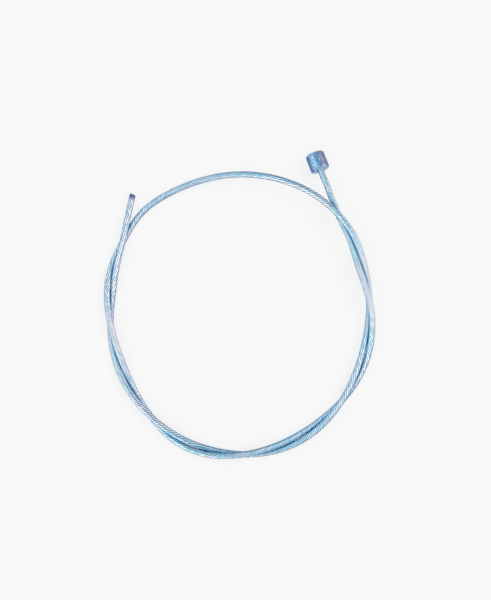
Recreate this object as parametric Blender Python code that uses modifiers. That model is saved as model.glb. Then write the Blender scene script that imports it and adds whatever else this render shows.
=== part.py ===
"""Straddle cable of a cantilever brake: a steel wire strand with a barrel nipple cast on one end.

The cable lies in a loop of nearly two turns. Bearings are in degrees, anticlockwise from +X as seen
from above, about the loop's middle. The cable runs clockwise, from the nipple to its free end.
Lengths are in metres, and the floor that the cable lies on is at z = 0.
"""

import math

import bpy
import numpy as np

# The cable and its nipple
CABLE_DIAMETER = 0.0015
NIPPLE_DIAMETER = 0.0046
NIPPLE_LENGTH = 0.0043
NIPPLE_EDGE_RADIUS = 0.00045
SOCKET_DEPTH = 0.0034
SOCKET_MOUTH_RADIUS = 0.00025
SOCKET_GAP = 0.0001

# Where the nipple lies: the middle of its mouth, and the way the cable leaves it
MOUTH_BEARING = 61.2
MOUTH_DISTANCE = 0.0400
NIPPLE_HEADING = -69.5
NIPPLE_TILT = 10.0

# The loop's mean radius, every so many degrees clockwise from the first crossing's bearing
LOOP_START = 45.0
LOOP_STEP = 22.5
LOOP_RADII = (
    0.0336,
    0.0314,
    0.0313,
    0.0317,
    0.0323,
    0.0332,
    0.0339,
    0.0341,
    0.0328,
    0.0318,
    0.0319,
    0.0331,
    0.0347,
    0.0342,
    0.0341,
    0.0340,
)

# Where the second turn crosses the first: over it, then under it, and so on to the free end
CROSSINGS = (45.2, 5.6, -42.5, -90.5, -133.2, -177.6, -212.4)
TURN_GAP = 0.00015
CLIMB_START = -235.0

# The cable between the nipple and the first crossing: bearing, distance and rise above the mouth
LEAD_STRAIGHT = 0.0015
LEAD_ROUTE = (
    (57.5, 0.0381, 0.00042),
    (53.0, 0.0360, 0.00048),
    (49.0, 0.0347, 0.00042),
)
FIRST_CROSSING_RISE = 0.00035

# The free end after the last crossing: bearing, distance and drop below that crossing
TAIL_ROUTE = (
    (141.0, 0.0357, 0.00015),
    (136.6, 0.0373, 0.00045),
    (131.9, 0.0394, 0.00080),
)

# Fineness of the shapes
POINTS_BETWEEN_CROSSINGS = 4
POINTS_ON_SINGLE_STRETCH = 7
CABLE_POINTS = 80
EDGE_STEPS = 5
NIPPLE_SIDES = 48

CABLE_RADIUS = CABLE_DIAMETER / 2
NIPPLE_RADIUS = NIPPLE_DIAMETER / 2
SOCKET_RADIUS = CABLE_RADIUS + SOCKET_GAP
TURN_OFFSET = (CABLE_DIAMETER + TURN_GAP) / 2


def clear_scene():
    for obj in list(bpy.data.objects):
        bpy.data.objects.remove(obj)


def metal(name, colour, roughness):
    material = bpy.data.materials.new(name)
    material.use_nodes = True
    shader = material.node_tree.nodes["Principled BSDF"]
    shader.inputs["Base Color"].default_value = (*colour, 1.0)
    shader.inputs["Metallic"].default_value = 1.0
    shader.inputs["Roughness"].default_value = roughness
    return material


def at_bearing(bearing, distance, height):
    angle = math.radians(bearing)
    return np.array((distance * math.cos(angle), distance * math.sin(angle), height))


def ease(start, end, value):
    """0 before start, 1 after end, and level at both."""
    share = min(max((value - start) / (end - start), 0.0), 1.0)
    return share * share * (3.0 - 2.0 * share)


def nipple_direction():
    """The way out of the nipple's mouth, along its axis."""
    tilt = math.radians(NIPPLE_TILT)
    level = at_bearing(NIPPLE_HEADING, math.cos(tilt), 0.0)
    return level + np.array((0.0, 0.0, math.sin(tilt)))


def mouth_height():
    """Height of the mouth's middle while the rounded back edge touches the floor."""
    tilt = math.radians(NIPPLE_TILT)
    along = NIPPLE_LENGTH - NIPPLE_EDGE_RADIUS
    across = NIPPLE_RADIUS - NIPPLE_EDGE_RADIUS
    return along * math.sin(tilt) + across * math.cos(tilt) + NIPPLE_EDGE_RADIUS


def mouth_middle():
    return at_bearing(MOUTH_BEARING, MOUTH_DISTANCE, mouth_height())


def loop_radius(bearing):
    """Mean radius of the closed loop, on a smooth curve through its radii."""
    place = (LOOP_START - bearing) / LOOP_STEP
    index = math.floor(place)
    t = place - index
    a, b, c, d = (LOOP_RADII[(index + k) % len(LOOP_RADII)] for k in (-1, 0, 1, 2))
    slope_b = (c - a) / 2
    slope_c = (d - b) / 2
    cubic = 2 * b - 2 * c + slope_b + slope_c
    square = 3 * c - 3 * b - 2 * slope_b - slope_c
    return b + t * (slope_b + t * (square + t * cubic))


def lift(bearing):
    """How far the thick nipple holds both turns off the floor."""
    highest = mouth_height() + FIRST_CROSSING_RISE - CABLE_RADIUS
    return highest * ease(CROSSINGS[2], CROSSINGS[0], bearing)


def wound_turn(side):
    """One turn of the wound pair. Side is -1 for the first turn and +1 for the second."""
    points = []
    for index, (start, end) in enumerate(zip(CROSSINGS, CROSSINGS[1:])):
        for step in range(POINTS_BETWEEN_CROSSINGS):
            share = step / POINTS_BETWEEN_CROSSINGS
            points.append((start + share * (end - start), math.pi * (index + share)))
    points.append((CROSSINGS[-1], math.pi * (len(CROSSINGS) - 1)))
    turn = []
    for bearing, phase in points:
        distance = loop_radius(bearing) + side * TURN_OFFSET * math.sin(phase)
        height = CABLE_RADIUS + TURN_OFFSET * (1 + side * math.cos(phase)) + lift(bearing)
        turn.append(at_bearing(bearing, distance, height))
    return turn


def single_stretch():
    """The cable between its two turns, where it lies alone and climbs to pass over itself."""
    start = CROSSINGS[-1]
    end = CROSSINGS[0] - 360.0
    climb = 2 * TURN_OFFSET + lift(CROSSINGS[0])
    stretch = []
    for bearing in np.linspace(start, end, POINTS_ON_SINGLE_STRETCH + 2)[1:-1]:
        rise = climb * ease(-CLIMB_START, -end, -bearing)
        stretch.append(at_bearing(bearing, loop_radius(bearing), CABLE_RADIUS + rise))
    return stretch


def cable_route():
    """Points along the cable's middle, from inside the nipple to the free end."""
    mouth = mouth_middle()
    out = nipple_direction()
    lead = [mouth - out * (SOCKET_DEPTH - SOCKET_GAP), mouth, mouth + out * LEAD_STRAIGHT]
    for bearing, distance, rise in LEAD_ROUTE:
        lead.append(at_bearing(bearing, distance, mouth_height() + rise))
    last_crossing = CABLE_RADIUS + 2 * TURN_OFFSET
    tail = []
    for bearing, distance, drop in TAIL_ROUTE:
        tail.append(at_bearing(bearing, distance, last_crossing - drop))
    return lead + wound_turn(-1) + single_stretch() + wound_turn(1) + tail


def along_smooth_curve(route, count):
    """Evenly spaced points on the natural cubic spline through the route's points."""
    route = np.array(route)
    chords = np.linalg.norm(np.diff(route, axis=0), axis=1)
    knots = np.concatenate(([0.0], np.cumsum(chords)))
    system = np.eye(len(route))
    turning = np.zeros_like(route)
    for i in range(1, len(route) - 1):
        before, after = chords[i - 1], chords[i]
        system[i, i - 1 : i + 2] = before, 2 * (before + after), after
        turning[i] = 6 * ((route[i + 1] - route[i]) / after - (route[i] - route[i - 1]) / before)
    bend = np.linalg.solve(system, turning)

    def point_at(s):
        i = np.clip(np.searchsorted(knots, s, side="right") - 1, 0, len(chords) - 1)
        h = chords[i][:, None]
        left = (knots[i + 1] - s)[:, None] / h
        right = 1 - left
        straight = left * route[i] + right * route[i + 1]
        return straight + ((left**3 - left) * bend[i] + (right**3 - right) * bend[i + 1]) * h * h / 6

    fine = np.linspace(0.0, knots[-1], 40 * len(route))
    steps = np.linalg.norm(np.diff(point_at(fine), axis=0), axis=1)
    walked = np.concatenate(([0.0], np.cumsum(steps)))
    return point_at(np.interp(np.linspace(0.0, walked[-1], count), walked, fine))


def make_cable(collection):
    curve = bpy.data.curves.new("cable", "CURVE")
    curve.dimensions = "3D"
    curve.bevel_depth = CABLE_RADIUS
    curve.bevel_resolution = 2
    curve.use_fill_caps = True
    spline = curve.splines.new("POLY")
    spline.points.add(CABLE_POINTS - 1)
    for point, place in zip(spline.points, along_smooth_curve(cable_route(), CABLE_POINTS)):
        point.co = (*place, 1.0)
    spline.use_smooth = True
    cable = bpy.data.objects.new("cable", curve)
    curve.materials.append(metal("galvanised_wire", (0.42, 0.58, 0.66), 0.35))
    collection.objects.link(cable)
    return cable


def quarter_round(middle_x, middle_z, radius, start):
    """Points of a quarter circle that turns clockwise from the start angle."""
    points = []
    for step in range(EDGE_STEPS + 1):
        angle = math.radians(start - 90.0 * step / EDGE_STEPS)
        points.append((middle_x + radius * math.cos(angle), middle_z + radius * math.sin(angle)))
    return points


def nipple_profile():
    """Half section of the nipple, its mouth at z = 0 and its back end below."""
    edge = NIPPLE_EDGE_RADIUS
    flare = SOCKET_MOUTH_RADIUS
    profile = [(0.0, -SOCKET_DEPTH), (SOCKET_RADIUS, -SOCKET_DEPTH)]
    profile += quarter_round(SOCKET_RADIUS + flare, -flare, flare, 180.0)
    profile += quarter_round(NIPPLE_RADIUS - edge, -edge, edge, 90.0)
    profile += quarter_round(NIPPLE_RADIUS - edge, edge - NIPPLE_LENGTH, edge, 0.0)
    profile.append((0.0, -NIPPLE_LENGTH))
    return profile


def make_nipple(collection):
    profile = nipple_profile()
    mesh = bpy.data.meshes.new("barrel_nipple")
    points = [(x, 0.0, z) for x, z in profile]
    mesh.from_pydata(points, [(i, i + 1) for i in range(len(points) - 1)], [])
    mesh.materials.append(metal("nipple_metal", (0.34, 0.48, 0.66), 0.3))
    nipple = bpy.data.objects.new("barrel_nipple", mesh)
    collection.objects.link(nipple)
    turned = nipple.modifiers.new("turned", "SCREW")
    turned.steps = NIPPLE_SIDES
    turned.render_steps = NIPPLE_SIDES
    turned.use_merge_vertices = True
    turned.merge_threshold = 0.00001
    turned.use_smooth_shade = True
    nipple.location = mouth_middle()
    nipple.rotation_euler = (0.0, math.radians(90.0 - NIPPLE_TILT), math.radians(NIPPLE_HEADING))
    return nipple


def box_of(parts):
    """Lowest and highest corners of the parts together."""
    graph = bpy.context.evaluated_depsgraph_get()
    corners = []
    for part in parts:
        solid = part.evaluated_get(graph)
        mesh = solid.to_mesh()
        corners += [solid.matrix_world @ vertex.co for vertex in mesh.vertices]
        solid.to_mesh_clear()
    corners = np.array(corners)
    return corners.min(axis=0), corners.max(axis=0)


def stand_on_origin(parts, collection):
    """Hangs the parts on an empty that brings the middle of their base to the origin."""
    lowest, highest = box_of(parts)
    middle = (lowest + highest) / 2
    base = bpy.data.objects.new("base_middle", None)
    collection.objects.link(base)
    base.location = (-middle[0], -middle[1], -lowest[2])
    for part in parts:
        part.parent = base


def main():
    clear_scene()
    collection = bpy.data.collections.new("straddle_cable")
    bpy.context.scene.collection.children.link(collection)
    parts = [make_cable(collection), make_nipple(collection)]
    stand_on_origin(parts, collection)


main()
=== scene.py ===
"""Straddle cable lying in its loop on a pale ground, seen from above.

The strand is swept along the cable's own route, and the cast nipple is turned and bored on its end.
Lengths are in metres. Bearings are in degrees about the loop's middle, anticlockwise from +X.
"""

import math

import bmesh
import bpy
import numpy as np
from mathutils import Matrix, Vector


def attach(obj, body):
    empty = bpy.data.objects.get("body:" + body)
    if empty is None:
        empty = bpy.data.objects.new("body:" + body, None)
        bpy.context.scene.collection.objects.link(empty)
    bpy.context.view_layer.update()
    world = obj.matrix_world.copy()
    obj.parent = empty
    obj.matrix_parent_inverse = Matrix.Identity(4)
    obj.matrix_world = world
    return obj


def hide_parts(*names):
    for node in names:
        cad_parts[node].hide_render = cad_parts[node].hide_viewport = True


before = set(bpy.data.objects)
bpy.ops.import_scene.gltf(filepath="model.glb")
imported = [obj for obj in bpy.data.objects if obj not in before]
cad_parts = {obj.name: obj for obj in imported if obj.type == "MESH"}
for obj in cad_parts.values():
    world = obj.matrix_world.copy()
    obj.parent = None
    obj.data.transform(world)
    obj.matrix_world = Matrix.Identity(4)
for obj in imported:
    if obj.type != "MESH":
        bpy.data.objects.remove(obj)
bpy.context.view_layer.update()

# The cable and its nipple
CABLE_DIAMETER = 0.0015
NIPPLE_DIAMETER = 0.0046
NIPPLE_LENGTH = 0.0043
NIPPLE_EDGE_RADIUS = 0.00045
NIPPLE_SIDES = 128
SOCKET_DEPTH = 0.0034
SOCKET_MOUTH_RADIUS = 0.00025
SOCKET_GAP = 0.0001
SAME_PLACE = 1e-5

# The cable's route
LOOP_MIDDLE = (0.0003965, -0.0024311, 0.0000066)
MOUTH_BEARING = 61.2
MOUTH_DISTANCE = 0.0400
NIPPLE_HEADING = -69.5
NIPPLE_TILT = 10.0
LOOP_START = 45.0
LOOP_STEP = 22.5
LOOP_RADII = (
    0.0336,
    0.0314,
    0.0313,
    0.0317,
    0.0323,
    0.0332,
    0.0339,
    0.0341,
    0.0328,
    0.0318,
    0.0319,
    0.0331,
    0.0347,
    0.0342,
    0.0341,
    0.0340,
)
CROSSINGS = (45.2, 5.6, -42.5, -90.5, -133.2, -177.6, -212.4)
TURN_GAP = 0.00003
CLIMB_START = -235.0
LEAD_STRAIGHT = 0.0015
LEAD_ROUTE = (
    (57.5, 0.0381, 0.00042),
    (53.0, 0.0360, 0.00048),
    (49.0, 0.0347, 0.00042),
)
FIRST_CROSSING_RISE = 0.00035
TAIL_ROUTE = (
    (141.0, 0.0357, 0.00015),
    (136.6, 0.0373, 0.00045),
    (131.9, 0.0394, 0.00080),
)
POINTS_BETWEEN_CROSSINGS = 4
POINTS_ON_SINGLE_STRETCH = 7
REAL_LENGTH = 0.380

# The strand: eight outer wires in a left-hand lay. At a roundness of 1 their tops would be fully round.
OUTER_WIRES = 8
WIRE_RADIUS = 0.000205
WIRE_ROUNDNESS = 0.55
WIRE_ANGLES = (-78.0, -48.0, -16.0, 16.0, 48.0, 78.0)
WIRE_SWELL = 0.012
GROOVE_SINK = 0.3 * WIRE_RADIUS
LAY_LENGTH = 0.00782
RING_STEP = 0.00040

# Rings nearer to each other than this along the cable are on the same turn
SAME_TURN = 0.030

# The free end, where the wires are melted together, blued and cut at a slant
FUSED_LENGTH = 0.0011
FUSED_RING_STEP = 0.00009
FULLY_FUSED = 0.25 * FUSED_LENGTH
FUSED_SHARE = 0.85
FUSED_ROUND = 0.985
BLUED_LENGTH = 1.9 * FUSED_LENGTH
LUMPS_ALONG = 4
LUMP_HOLLOW = 0.05
LUMP_RISE = 0.02
END_ROUNDING = 0.16
END_ROUNDING_LENGTH = 0.22 * FUSED_LENGTH
END_DOME = 0.00003
CUT_SLANT = 0.20

CABLE_RADIUS = CABLE_DIAMETER / 2
NIPPLE_RADIUS = NIPPLE_DIAMETER / 2
SOCKET_RADIUS = CABLE_RADIUS + SOCKET_GAP
TURN_OFFSET = (CABLE_DIAMETER + TURN_GAP) / 2

# The camera, straight above the ground
CAMERA_PLACE = (0.0014965, 0.0012389, 0.265)
VIEW_HEIGHT_ON_GROUND = 0.1467
SENSOR = 36.0


def at_bearing(bearing, distance, height):
    angle = math.radians(bearing)
    return np.array((distance * math.cos(angle), distance * math.sin(angle), height))


def ease(start, end, value):
    """0 before start, 1 after end, and level at both."""
    share = min(max((value - start) / (end - start), 0.0), 1.0)
    return share * share * (3.0 - 2.0 * share)


def nipple_direction():
    tilt = math.radians(NIPPLE_TILT)
    level = at_bearing(NIPPLE_HEADING, math.cos(tilt), 0.0)
    return level + np.array((0.0, 0.0, math.sin(tilt)))


def mouth_height():
    tilt = math.radians(NIPPLE_TILT)
    along = NIPPLE_LENGTH - NIPPLE_EDGE_RADIUS
    across = NIPPLE_RADIUS - NIPPLE_EDGE_RADIUS
    return along * math.sin(tilt) + across * math.cos(tilt) + NIPPLE_EDGE_RADIUS


def mouth_middle():
    """The middle of the nipple's mouth, from the loop's middle."""
    return at_bearing(MOUTH_BEARING, MOUTH_DISTANCE, mouth_height())


def mouth_place():
    """The middle of the nipple's mouth in the shared frame."""
    return mouth_middle() + np.array(LOOP_MIDDLE)


def loop_radius(bearing):
    """Mean radius of the closed loop, on a smooth curve through its radii."""
    place = (LOOP_START - bearing) / LOOP_STEP
    index = math.floor(place)
    t = place - index
    a, b, c, d = (LOOP_RADII[(index + k) % len(LOOP_RADII)] for k in (-1, 0, 1, 2))
    slope_b = (c - a) / 2
    slope_c = (d - b) / 2
    cubic = 2 * b - 2 * c + slope_b + slope_c
    square = 3 * c - 3 * b - 2 * slope_b - slope_c
    return b + t * (slope_b + t * (square + t * cubic))


def lift(bearing):
    """How far the thick nipple holds both turns off the ground."""
    highest = mouth_height() + FIRST_CROSSING_RISE - CABLE_RADIUS
    return highest * ease(CROSSINGS[2], CROSSINGS[0], bearing)


def wound_turn(side):
    """One turn of the wound pair. Side is -1 for the first turn and +1 for the second."""
    points = []
    for index, (start, end) in enumerate(zip(CROSSINGS, CROSSINGS[1:])):
        for step in range(POINTS_BETWEEN_CROSSINGS):
            share = step / POINTS_BETWEEN_CROSSINGS
            points.append((start + share * (end - start), math.pi * (index + share)))
    points.append((CROSSINGS[-1], math.pi * (len(CROSSINGS) - 1)))
    turn = []
    for bearing, phase in points:
        distance = loop_radius(bearing) + side * TURN_OFFSET * math.sin(phase)
        height = CABLE_RADIUS + TURN_OFFSET * (1 + side * math.cos(phase)) + lift(bearing)
        turn.append(at_bearing(bearing, distance, height))
    return turn


def single_stretch():
    """The cable between its two turns, where it lies alone and climbs to pass over itself."""
    start = CROSSINGS[-1]
    end = CROSSINGS[0] - 360.0
    climb = 2 * TURN_OFFSET + lift(CROSSINGS[0])
    stretch = []
    for bearing in np.linspace(start, end, POINTS_ON_SINGLE_STRETCH + 2)[1:-1]:
        rise = climb * ease(-CLIMB_START, -end, -bearing)
        stretch.append(at_bearing(bearing, loop_radius(bearing), CABLE_RADIUS + rise))
    return stretch


def cable_route():
    """Points along the cable's middle, from inside the nipple to the free end."""
    mouth = mouth_middle()
    out = nipple_direction()
    lead = [mouth - out * (SOCKET_DEPTH - SOCKET_GAP), mouth, mouth + out * LEAD_STRAIGHT]
    for bearing, distance, rise in LEAD_ROUTE:
        lead.append(at_bearing(bearing, distance, mouth_height() + rise))
    last_crossing = CABLE_RADIUS + 2 * TURN_OFFSET
    tail = []
    for bearing, distance, drop in TAIL_ROUTE:
        tail.append(at_bearing(bearing, distance, last_crossing - drop))
    return lead + wound_turn(-1) + single_stretch() + wound_turn(1) + tail


class SmoothLine:
    """The natural cubic spline through a route's points, read by the length walked along it."""

    def __init__(self, route):
        self.route = np.array(route)
        self.chords = np.linalg.norm(np.diff(self.route, axis=0), axis=1)
        self.knots = np.concatenate(([0.0], np.cumsum(self.chords)))
        self.bend = self.bending()
        self.fine = np.linspace(0.0, self.knots[-1], 60 * len(self.route))
        steps = np.linalg.norm(np.diff(self.on_knots(self.fine), axis=0), axis=1)
        self.walked = np.concatenate(([0.0], np.cumsum(steps)))
        self.length = self.walked[-1]

    def bending(self):
        route, chords = self.route, self.chords
        system = np.eye(len(route))
        turning = np.zeros_like(route)
        for i in range(1, len(route) - 1):
            before, after = chords[i - 1], chords[i]
            system[i, i - 1 : i + 2] = before, 2 * (before + after), after
            turning[i] = 6 * ((route[i + 1] - route[i]) / after - (route[i] - route[i - 1]) / before)
        return np.linalg.solve(system, turning)

    def on_knots(self, s):
        i = np.clip(np.searchsorted(self.knots, s, side="right") - 1, 0, len(self.chords) - 1)
        h = self.chords[i][:, None]
        left = (self.knots[i + 1] - s)[:, None] / h
        right = 1 - left
        straight = left * self.route[i] + right * self.route[i + 1]
        curved = (left**3 - left) * self.bend[i] + (right**3 - right) * self.bend[i + 1]
        return straight + curved * h * h / 6

    def at(self, walked):
        return self.on_knots(np.interp(walked, self.walked, self.fine))


def make_camera():
    data = bpy.data.cameras.new("camera")
    data.sensor_width = SENSOR
    data.lens = SENSOR * CAMERA_PLACE[2] / VIEW_HEIGHT_ON_GROUND
    data.clip_start = 0.01
    data.clip_end = 10.0
    camera = bpy.data.objects.new("camera", data)
    camera.location = CAMERA_PLACE
    bpy.context.scene.collection.objects.link(camera)
    bpy.context.scene.camera = camera


def stations_along(length):
    """Where the strand's rings stand, closer together over the fused end."""
    plain = length - FUSED_LENGTH - RING_STEP
    rough = np.linspace(0.0, plain, round(plain / RING_STEP) + 1)
    left = length - plain
    fine = plain + np.linspace(0.0, left, round(left / FUSED_RING_STEP) + 1)[1:]
    return np.concatenate((rough, fine))


def carried_frames(centres):
    """Tangent and two cross directions at each ring, carried along without turning about the line."""
    tangents = np.gradient(centres, axis=0)
    tangents /= np.linalg.norm(tangents, axis=1)[:, None]
    side = np.cross((0.0, 0.0, 1.0), tangents[0])
    side /= np.linalg.norm(side)
    sides = [side]
    for tangent in tangents[1:]:
        side = side - tangent * (side @ tangent)
        side = side / np.linalg.norm(side)
        sides.append(side)
    sides = np.array(sides)
    return tangents, sides, np.cross(tangents, sides)


def wire_outline():
    """Angle from the wire's middle, distance from the strand's middle and groove depth, round one wire."""
    middle = CABLE_RADIUS - WIRE_RADIUS
    points = []
    for degrees in WIRE_ANGLES:
        across = WIRE_RADIUS * math.sin(math.radians(degrees))
        out = middle + WIRE_RADIUS * math.cos(math.radians(degrees))
        drop = CABLE_RADIUS - math.hypot(across, out)
        points.append((math.atan2(across, out), CABLE_RADIUS - WIRE_ROUNDNESS * drop))
    bottom = middle * math.cos(math.pi / OUTER_WIRES) - GROOVE_SINK
    points.append((math.pi / OUTER_WIRES, bottom))
    depth = CABLE_RADIUS - bottom
    return [(angle, distance, (CABLE_RADIUS - distance) / depth) for angle, distance in points]


def facing_next_turn(centres, stations, facing):
    """How squarely each point of the skin faces another turn of the cable close beside it, 0 to 1."""
    apart = np.linalg.norm(centres[:, None] - centres[None], axis=2)
    apart[np.abs(stations[:, None] - stations[None]) < SAME_TURN] = np.inf
    way = centres[apart.argmin(axis=1)] - centres
    distance = np.linalg.norm(way, axis=1)
    close = np.clip(2.0 - distance / CABLE_DIAMETER, 0.0, 1.0)
    square = np.einsum("rpk,rk->rp", facing, way / distance[:, None])
    return close[:, None] * np.clip(square, 0.0, 1.0)


def tube_faces(rings, per_ring):
    """Quads between a tube's rings, and a fan over each end round a point of its own."""
    first = np.arange(per_ring)
    after = np.roll(first, -1)
    last = (rings - 1) * per_ring
    quads = []
    for here in range(0, last, per_ring):
        there = here + per_ring
        quads.append(np.stack((here + first, here + after, there + after, there + first), axis=1))
    start_point = rings * per_ring
    end_point = start_point + 1
    pairs = list(zip(first.tolist(), after.tolist()))
    fans = [(start_point, b, a) for a, b in pairs]
    fans += [(end_point, last + a, last + b) for a, b in pairs]
    return np.concatenate(quads).tolist() + fans


def mark(mesh, name, on_skin, at_start, at_end):
    """Writes one number for each point of the skin and for the two end points, for the finish to read."""
    mesh.attributes.new(name, "FLOAT", "POINT")
    mesh.attributes[name].data.foreach_set("value", np.concatenate((on_skin, (at_start, at_end))))


def unroll(mesh, stations, per_ring, length):
    """Maps U round the strand and V along it, both from 0 to 1."""
    layer = mesh.uv_layers.new(name="along_wire")
    corners = np.empty(len(mesh.loops), dtype=np.int32)
    mesh.loops.foreach_get("vertex_index", corners)
    on_skin = corners < len(stations) * per_ring
    uv = np.zeros((len(mesh.loops), 2))
    uv[on_skin, 0] = (corners[on_skin] % per_ring) / per_ring
    uv[on_skin, 1] = stations[corners[on_skin] // per_ring] / length
    uv[~on_skin, 1] = 1.0
    layer.data.foreach_set("uv", uv.reshape(-1))


def make_strand(line):
    """The strand as one closed skin: the outer wires' tops and the grooves between them."""
    stations = stations_along(line.length)
    centres = line.at(stations) + np.array(LOOP_MIDDLE)
    tangents, sides, ups = carried_frames(centres)
    outline = wire_outline()
    rings = len(stations)
    per_ring = OUTER_WIRES * len(outline)
    wires = np.repeat(np.arange(OUTER_WIRES), len(outline))
    angles, distances, grooves = (np.tile(column, OUTER_WIRES) for column in zip(*outline))
    angles = angles + wires * 2 * math.pi / OUTER_WIRES
    random = np.random.RandomState(7)
    swell = 1.0 + random.uniform(-WIRE_SWELL, WIRE_SWELL, OUTER_WIRES)
    lumps = random.uniform(-LUMP_HOLLOW, LUMP_RISE, (OUTER_WIRES, LUMPS_ALONG))
    tones = random.uniform(0.0, 1.0, OUTER_WIRES)

    points = np.empty((rings, per_ring, 3))
    facing = np.empty((rings, per_ring, 3))
    blueing = np.empty(rings)
    for ring, walked in enumerate(stations):
        to_end = line.length - walked
        blueing[ring] = 1.0 - ease(0.0, BLUED_LENGTH, to_end)
        fused = 1.0 - ease(FULLY_FUSED, FUSED_LENGTH, to_end)
        lump_here = int(to_end / FUSED_LENGTH * (LUMPS_ALONG - 1)) % LUMPS_ALONG
        lump = lumps[wires, lump_here] if fused > 0 else 0.0
        plain = distances * swell[wires]
        radius = plain + fused * FUSED_SHARE * (CABLE_RADIUS * FUSED_ROUND * (1.0 + lump) - plain)
        radius = radius * (1.0 - END_ROUNDING * (1.0 - ease(0.0, END_ROUNDING_LENGTH, to_end)))
        turned = angles - 2 * math.pi * walked / LAY_LENGTH
        facing[ring] = np.cos(turned)[:, None] * sides[ring] + np.sin(turned)[:, None] * ups[ring]
        slant = 1.0 - ease(0.0, FUSED_LENGTH, to_end)
        lean = np.cos(turned) * radius * CUT_SLANT * slant
        points[ring] = centres[ring] + facing[ring] * radius[:, None] + lean[:, None] * tangents[ring]

    start_middle = points[0].mean(axis=0)
    end_middle = points[-1].mean(axis=0) + tangents[-1] * END_DOME
    vertices = np.concatenate((points.reshape(-1, 3), [start_middle, end_middle]))
    mesh = bpy.data.meshes.new("wire_strand")
    mesh.from_pydata(vertices.tolist(), [], tube_faces(rings, per_ring))
    mesh.update()
    mark(mesh, "groove", np.tile(grooves, rings), 0.6, 0.6)
    mark(mesh, "blueing", np.repeat(blueing, per_ring), 0.0, 1.0)
    mark(mesh, "wire", np.tile(tones[wires], rings), 0.5, 0.5)
    # The finish paints shade where this is high, between the turns
    mark(mesh, "beside_turn", facing_next_turn(centres, stations, facing).reshape(-1), 0.0, 0.0)
    unroll(mesh, stations, per_ring, line.length)

    strand = bpy.data.objects.new("wire_strand", mesh)
    bpy.context.scene.collection.objects.link(strand)
    bpy.ops.object.select_all(action="DESELECT")
    strand.select_set(True)
    bpy.context.view_layer.objects.active = strand
    bpy.ops.object.shade_smooth_by_angle(angle=math.radians(50.0))
    return strand, centres


def round_edges(nipple, radius, heights, rounding, segments):
    """Rounds the nipple's edges that run in a ring of one radius at any of the heights."""
    bpy.ops.mesh.select_all(action="DESELECT")
    shape = bmesh.from_edit_mesh(nipple.data)
    for edge in shape.edges:
        ends = [vertex.co for vertex in edge.verts]
        on_radius = all(abs(end.xy.length - radius) < SAME_PLACE for end in ends)
        level = any(all(abs(end.z - height) < SAME_PLACE for end in ends) for height in heights)
        edge.select = on_radius and level
    shape.select_flush_mode()
    bmesh.update_edit_mesh(nipple.data)
    bpy.ops.mesh.bevel(offset=rounding, segments=segments, profile=0.5)


def make_nipple():
    """The cast barrel: a cylinder with its rims rounded and a blind hole bored for the strand."""
    bpy.ops.object.select_all(action="DESELECT")
    bpy.ops.mesh.primitive_cylinder_add(
        vertices=NIPPLE_SIDES,
        radius=NIPPLE_RADIUS,
        depth=NIPPLE_LENGTH,
        end_fill_type="NGON",
        location=(0.0, 0.0, -NIPPLE_LENGTH / 2),
    )
    nipple = bpy.context.object
    nipple.name = "cast_nipple"
    nipple.data.name = "cast_nipple"
    bpy.ops.object.transform_apply(location=True, rotation=True, scale=True)
    bpy.ops.object.mode_set(mode="EDIT")
    bpy.ops.mesh.select_mode(type="FACE")
    bpy.ops.mesh.select_all(action="DESELECT")
    shape = bmesh.from_edit_mesh(nipple.data)
    for face in shape.faces:
        face.select = face.normal.z > 0.9
    bmesh.update_edit_mesh(nipple.data)
    bpy.ops.mesh.inset(thickness=NIPPLE_RADIUS - SOCKET_RADIUS, depth=0.0)
    bpy.ops.mesh.extrude_region_move(TRANSFORM_OT_translate={"value": (0.0, 0.0, -SOCKET_DEPTH)})
    bpy.ops.mesh.select_mode(type="EDGE")
    round_edges(nipple, NIPPLE_RADIUS, (0.0, -NIPPLE_LENGTH), NIPPLE_EDGE_RADIUS, 8)
    round_edges(nipple, SOCKET_RADIUS, (0.0,), SOCKET_MOUTH_RADIUS, 6)
    bpy.ops.object.mode_set(mode="OBJECT")
    nipple.location = Vector(mouth_middle()) + Vector(LOOP_MIDDLE)
    nipple.rotation_euler = (0.0, math.radians(90.0 - NIPPLE_TILT), math.radians(NIPPLE_HEADING))
    bpy.ops.object.transform_apply(location=True, rotation=True, scale=True)
    bpy.ops.object.shade_smooth_by_angle(angle=math.radians(40.0))
    return nipple


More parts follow.
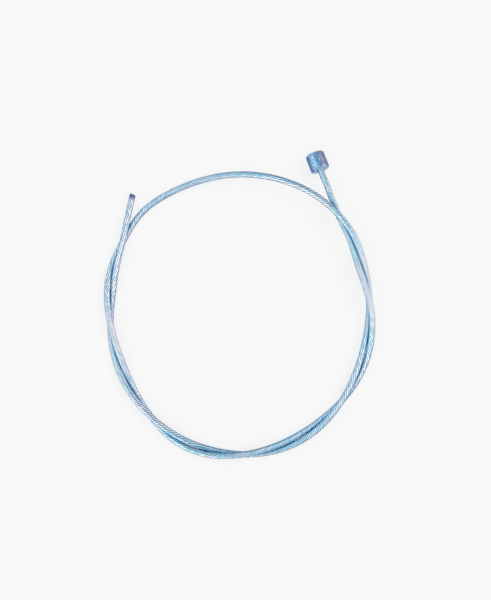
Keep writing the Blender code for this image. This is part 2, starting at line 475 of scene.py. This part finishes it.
class Finish:
    """A material's nodes, added and joined by name."""

    def __init__(self, name):
        self.material = bpy.data.materials.new(name)
        self.material.use_nodes = True
        self.nodes = self.material.node_tree.nodes
        self.links = self.material.node_tree.links
        self.shader = self.nodes["Principled BSDF"]

    def node(self, kind, **settings):
        node = self.nodes.new(kind)
        for key, value in settings.items():
            setattr(node, key, value)
        return node

    def join(self, source, target):
        self.links.new(source, target)

    def attribute(self, name):
        return self.node("ShaderNodeAttribute", attribute_name=name).outputs["Fac"]

    def place(self):
        return self.node("ShaderNodeTexCoord").outputs["Object"]

    def noise(self, scale, detail, vector=None):
        noise = self.node("ShaderNodeTexNoise")
        noise.inputs["Scale"].default_value = scale
        noise.inputs["Detail"].default_value = detail
        noise.inputs["Roughness"].default_value = 0.6
        self.join(vector or self.place(), noise.inputs["Vector"])
        return noise.outputs["Fac"]

    def distance_along(self, direction):
        """How far each point lies from the origin along a direction."""
        distance = self.node("ShaderNodeVectorMath", operation="DOT_PRODUCT")
        distance.inputs[1].default_value = direction
        self.join(self.place(), distance.inputs[0])
        return distance.outputs["Value"]

    def times(self, value, factor):
        """A value times a number or another value."""
        product = self.node("ShaderNodeMath", operation="MULTIPLY")
        self.join(value, product.inputs[0])
        if isinstance(factor, float):
            product.inputs[1].default_value = factor
        else:
            self.join(factor, product.inputs[1])
        return product.outputs[0]

    def spread(self, value, low, high, to_low=0.0, to_high=1.0):
        """Turns low to high into to_low to to_high, level at both."""
        spread = self.node("ShaderNodeMapRange", interpolation_type="SMOOTHSTEP")
        self.join(value, spread.inputs["Value"])
        for key, number in (("From Min", low), ("From Max", high), ("To Min", to_low), ("To Max", to_high)):
            spread.inputs[key].default_value = number
        return spread.outputs["Result"]

    def mix(self, share, first, second, blend="MIX"):
        mix = self.node("ShaderNodeMix", data_type="RGBA", blend_type=blend)
        if isinstance(share, float):
            mix.inputs["Factor"].default_value = share
        else:
            self.join(share, mix.inputs["Factor"])
        for value, socket in zip((first, second), [i for i in mix.inputs if i.type == "RGBA"]):
            if isinstance(value, tuple):
                socket.default_value = (*value, 1.0)
            else:
                self.join(value, socket)
        return [o for o in mix.outputs if o.type == "RGBA"][0]

    def bump(self, height, distance):
        bump = self.node("ShaderNodeBump")
        bump.inputs["Distance"].default_value = distance
        self.join(height, bump.inputs["Height"])
        self.join(bump.outputs["Normal"], self.shader.inputs["Normal"])


# The wires' finish, with painted glints and painted shade
GLINT_LENGTH = 0.0011
# Painted glints: bright dashes along each wire, from the dull colour up to a painted highlight
DULL_WIRE = (0.49, 0.65, 0.70)
PAINTED_GLINT = (1.0, 0.98, 0.96)
TEAL_TINT = (0.72, 0.91, 0.95)
ROSE_TINT = (1.0, 0.92, 0.93)
PALE_TINT = (1.0, 0.89, 0.91)
PALE_BEARING = 155.0
PALE_START = 0.2 * LOOP_RADII[0]
PALE_SHARE = 0.75
DARKER_WIRE = (0.54, 0.66, 0.71)
# Painted shade and grime: the wires darken to these towards the bottom of each groove
GROOVE_EDGE_SHADE_AND_GRIME = (0.28, 0.53, 0.67)
GROOVE_BOTTOM_SHADE_AND_GRIME = (0.01, 0.10, 0.28)
# Painted shade on the flanks where two turns lie close and face each other
SHADE_BETWEEN_TURNS = (0.14, 0.42, 0.66)
BLUED_WIRE = (0.30, 0.35, 0.56)
BURNT_WIRE = (0.13, 0.14, 0.30)
WIRE_RIM = (0.26, 0.45, 0.70, 1.0)


def galvanised_wires():
    """Plated wires: painted glints, a drifting tint, painted shade and grime in the grooves, a blued end.
    """
    finish = Finish("galvanised_wires")
    finish.shader.inputs["Metallic"].default_value = 1.0
    # Painted glints: noise along each wire lifts the colour in short dashes, standing in for highlights
    along = finish.node("ShaderNodeVectorMath", operation="MULTIPLY")
    along.inputs[1].default_value = (OUTER_WIRES, REAL_LENGTH / GLINT_LENGTH, 1.0)
    finish.join(finish.node("ShaderNodeTexCoord").outputs["UV"], along.inputs[0])
    glints = finish.spread(finish.noise(1.0, 1.0, along.outputs["Vector"]), 0.40, 0.58)
    colour = finish.mix(glints, DULL_WIRE, PAINTED_GLINT)

    drift = finish.spread(finish.noise(110.0, 1.0), 0.42, 0.58)
    tint = finish.mix(drift, TEAL_TINT, ROSE_TINT)
    toward_pale = finish.distance_along(at_bearing(PALE_BEARING, 1.0, 0.0))
    pale = finish.spread(toward_pale, PALE_START, LOOP_RADII[0], 0.0, PALE_SHARE)
    tint = finish.mix(pale, tint, PALE_TINT)
    colour = finish.mix(1.0, colour, tint, "MULTIPLY")

    darker = finish.spread(finish.attribute("wire"), 0.0, 1.0, 0.0, 0.50)
    colour = finish.mix(darker, colour, DARKER_WIRE)
    # Painted shade and grime in the grooves: teal on the flanks, deep blue at the bottom
    groove = finish.attribute("groove")
    colour = finish.mix(finish.spread(groove, 0.015, 0.14, 0.0, 0.90), colour, GROOVE_EDGE_SHADE_AND_GRIME)
    colour = finish.mix(finish.spread(groove, 0.12, 0.40, 0.0, 0.96), colour, GROOVE_BOTTOM_SHADE_AND_GRIME)
    # Painted shade: blue where a flank faces another turn close beside it
    beside = finish.spread(finish.attribute("beside_turn"), 0.45, 0.90, 0.0, 0.75)
    colour = finish.mix(beside, colour, SHADE_BETWEEN_TURNS)
    blueing = finish.attribute("blueing")
    colour = finish.mix(finish.spread(blueing, 0.05, 0.45), colour, BLUED_WIRE)
    colour = finish.mix(finish.spread(blueing, 0.40, 0.85), colour, BURNT_WIRE)
    finish.join(colour, finish.shader.inputs["Base Color"])
    finish.shader.inputs["Specular Tint"].default_value = WIRE_RIM

    grain = finish.noise(6000.0, 3.0)
    finish.join(finish.spread(grain, 0.3, 0.7, 0.28, 0.32), finish.shader.inputs["Roughness"])
    finish.bump(grain, 0.000006)
    return finish.material


# The nipple's finish
DARK_CAST = (0.10, 0.22, 0.43)
PALE_CAST = (0.22, 0.37, 0.56)
SPECKLE = (0.52, 0.76, 0.78)
# Painted reflection: lilac along one side of the barrel
LILAC_SIDE_REFLECTION = (0.40, 0.36, 0.44)
SHOULDER = (0.85, 0.90, 0.93)
SHOULDER_DEPTH = 0.30 * NIPPLE_EDGE_RADIUS


def cast_metal():
    """Blue plated metal, clouded and speckled, a painted lilac reflection along one side, a pale shoulder.
    """
    finish = Finish("cast_metal")
    finish.shader.inputs["Metallic"].default_value = 1.0
    cloudy = finish.spread(finish.noise(700.0, 5.0), 0.35, 0.65)
    colour = finish.mix(cloudy, DARK_CAST, PALE_CAST)
    speckled = finish.spread(finish.noise(3000.0, 2.0), 0.52, 0.62, 0.0, 0.70)
    colour = finish.mix(speckled, colour, SPECKLE)

    # Painted reflection: lilac in patches over one side of the barrel, across its axis
    sideways = at_bearing(NIPPLE_HEADING + 90.0, 1.0, 0.0)
    axis = float(sideways @ mouth_place())
    across = finish.distance_along(sideways)
    side = finish.spread(across, axis + 0.2 * NIPPLE_RADIUS, axis + 0.8 * NIPPLE_RADIUS)
    reflection_patches = finish.spread(finish.noise(1300.0, 4.0), 0.38, 0.60, 0.25, 1.0)
    colour = finish.mix(finish.times(side, reflection_patches), colour, LILAC_SIDE_REFLECTION)

    mouth = float(nipple_direction() @ mouth_place())
    along = finish.distance_along(nipple_direction())
    shoulder = finish.spread(along, mouth - SHOULDER_DEPTH, mouth)
    colour = finish.mix(shoulder, colour, SHOULDER)
    finish.join(colour, finish.shader.inputs["Base Color"])

    grain = finish.noise(3500.0, 4.0)
    finish.join(finish.spread(grain, 0.3, 0.7, 0.28, 0.34), finish.shader.inputs["Roughness"])
    finish.bump(grain, 0.00008)
    return finish.material


def wear(piece, material):
    piece.data.materials.clear()
    piece.data.materials.append(material)


# The ground: how much of its brightness is its own and even, as the camera sees it and as the metal does
GROUND_SIZE = 6.0
GROUND_COLOUR = (0.938, 0.937, 0.939)
MIRRORED_GROUND = (0.18, 0.37, 0.68)
SEEN_EVENNESS = 0.82
MIRRORED_EVENNESS = 0.75


def make_ground():
    """A white sheet, lit evenly, which the metal mirrors as a dimmer blue one."""
    bpy.ops.object.select_all(action="DESELECT")
    bpy.ops.mesh.primitive_plane_add(size=GROUND_SIZE, location=(0.0, 0.0, 0.0))
    ground = bpy.context.object
    ground.name = "ground"
    finish = Finish("white_ground")
    finish.shader.inputs["Base Color"].default_value = (*GROUND_COLOUR, 1.0)
    finish.shader.inputs["Roughness"].default_value = 0.9
    finish.shader.inputs["Specular IOR Level"].default_value = 0.0

    path = finish.node("ShaderNodeLightPath")
    even = finish.node("ShaderNodeEmission")
    glow = finish.mix(path.outputs["Is Glossy Ray"], GROUND_COLOUR, MIRRORED_GROUND)
    finish.join(glow, even.inputs["Color"])
    evenness = finish.node("ShaderNodeMath", operation="MULTIPLY_ADD")
    finish.join(path.outputs["Is Camera Ray"], evenness.inputs[0])
    evenness.inputs[1].default_value = SEEN_EVENNESS
    finish.join(finish.times(path.outputs["Is Glossy Ray"], MIRRORED_EVENNESS), evenness.inputs[2])
    surface = finish.node("ShaderNodeMixShader")
    finish.join(evenness.outputs[0], surface.inputs["Fac"])
    finish.join(finish.shader.outputs[0], surface.inputs[1])
    finish.join(even.outputs[0], surface.inputs[2])
    finish.join(surface.outputs[0], finish.nodes["Material Output"].inputs["Surface"])
    wear(ground, finish.material)


# What the metal mirrors: soft lights round and over the ground. Each has a name, a bearing, a height and
# a reach in degrees, and a colour. It is full over the middle share of its reach and fades out from there.
SOFT_LIGHTS = (
    ("south_west_window", 225.0, 16.0, 56.0, (1.90, 1.40, 1.10)),
    ("east_window", 0.0, 12.0, 42.0, (1.60, 1.15, 0.85)),
    ("east_glow", 0.0, 14.0, 72.0, (0.65, 0.42, 0.36)),
    ("west_glow", 180.0, 22.0, 46.0, (0.68, 0.66, 0.62)),
    ("north_glow", 105.0, 8.0, 60.0, (0.29, 0.42, 0.50)),
    ("south_glow", 300.0, 8.0, 60.0, (0.34, 0.36, 0.42)),
    ("north_west_window", 135.0, 36.0, 46.0, (1.00, 1.10, 1.05)),
    ("south_west_ceiling", 225.0, 50.0, 36.0, (0.88, 1.08, 1.20)),
    ("south_east_glow", 315.0, 35.0, 40.0, (0.40, 0.40, 0.45)),
    ("east_ceiling", 12.0, 50.0, 42.0, (1.08, 0.97, 0.96)),
    ("overhead", 0.0, 90.0, 34.0, (0.02, 0.38, 0.70)),
)
FULL_SHARE = 0.3
DIM_ROOM = (0.01, 0.05, 0.08)


def make_surroundings():
    """Plain white light for the ground, and soft coloured lights that only the metal mirrors."""
    world = bpy.data.worlds.new("studio")
    world.use_nodes = True
    bpy.context.scene.world = world
    nodes, links = world.node_tree.nodes, world.node_tree.links
    way = nodes.new("ShaderNodeTexCoord").outputs["Generated"]
    colour = None
    for name, bearing, height, reach, tint in SOFT_LIGHTS:
        level, up = math.cos(math.radians(height)), math.sin(math.radians(height))
        near = nodes.new("ShaderNodeVectorMath")
        near.operation = "DOT_PRODUCT"
        near.inputs[1].default_value = at_bearing(bearing, level, up)
        links.new(way, near.inputs[0])
        share = nodes.new("ShaderNodeMapRange")
        share.interpolation_type = "SMOOTHSTEP"
        share.inputs["From Min"].default_value = math.cos(math.radians(reach))
        share.inputs["From Max"].default_value = math.cos(math.radians(reach * FULL_SHARE))
        links.new(near.outputs["Value"], share.inputs["Value"])
        mix = nodes.new("ShaderNodeMix")
        mix.data_type = "RGBA"
        mix.blend_type = "ADD"
        mix.label = name
        first, second = [i for i in mix.inputs if i.type == "RGBA"]
        links.new(share.outputs["Result"], mix.inputs["Factor"])
        if colour is None:
            first.default_value = (*DIM_ROOM, 1.0)
        else:
            links.new(colour, first)
        second.default_value = (*tint, 1.0)
        colour = [o for o in mix.outputs if o.type == "RGBA"][0]
    plain = nodes["Background"]
    plain.inputs["Color"].default_value = (1.0, 1.0, 1.0, 1.0)
    plain.inputs["Strength"].default_value = 1.0
    mirrored = nodes.new("ShaderNodeBackground")
    links.new(colour, mirrored.inputs["Color"])
    path = nodes.new("ShaderNodeLightPath")
    choice = nodes.new("ShaderNodeMixShader")
    links.new(path.outputs["Is Glossy Ray"], choice.inputs["Fac"])
    links.new(plain.outputs["Background"], choice.inputs[1])
    links.new(mirrored.outputs["Background"], choice.inputs[2])
    links.new(choice.outputs["Shader"], nodes["World Output"].inputs["Surface"])


# The lamp that gives the ground its faint shadow. The metal doesn't mirror it.
LAMP_STRENGTH = 0.4
LAMP_COLOUR = (1.0, 0.96, 0.90)
LAMP_WIDTH = 25.0
LAMP_HEADING = (-0.8, -0.35, -1.0)


def make_lamp():
    data = bpy.data.lights.new("key", "SUN")
    data.energy = LAMP_STRENGTH
    data.color = LAMP_COLOUR
    data.angle = math.radians(LAMP_WIDTH)
    lamp = bpy.data.objects.new("key", data)
    lamp.visible_glossy = False
    lamp.rotation_euler = Vector(LAMP_HEADING).to_track_quat("-Z", "Y").to_euler()
    bpy.context.scene.collection.objects.link(lamp)


make_camera()
bpy.context.scene.view_settings.view_transform = "Standard"
line = SmoothLine(cable_route())
strand, ring_centres = make_strand(line)
wear(strand, galvanised_wires())
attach(strand, "root")
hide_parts("cable")

nipple = make_nipple()
wear(nipple, cast_metal())
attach(nipple, "root")
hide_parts("barrel_nipple")

make_ground()
make_surroundings()
make_lamp()
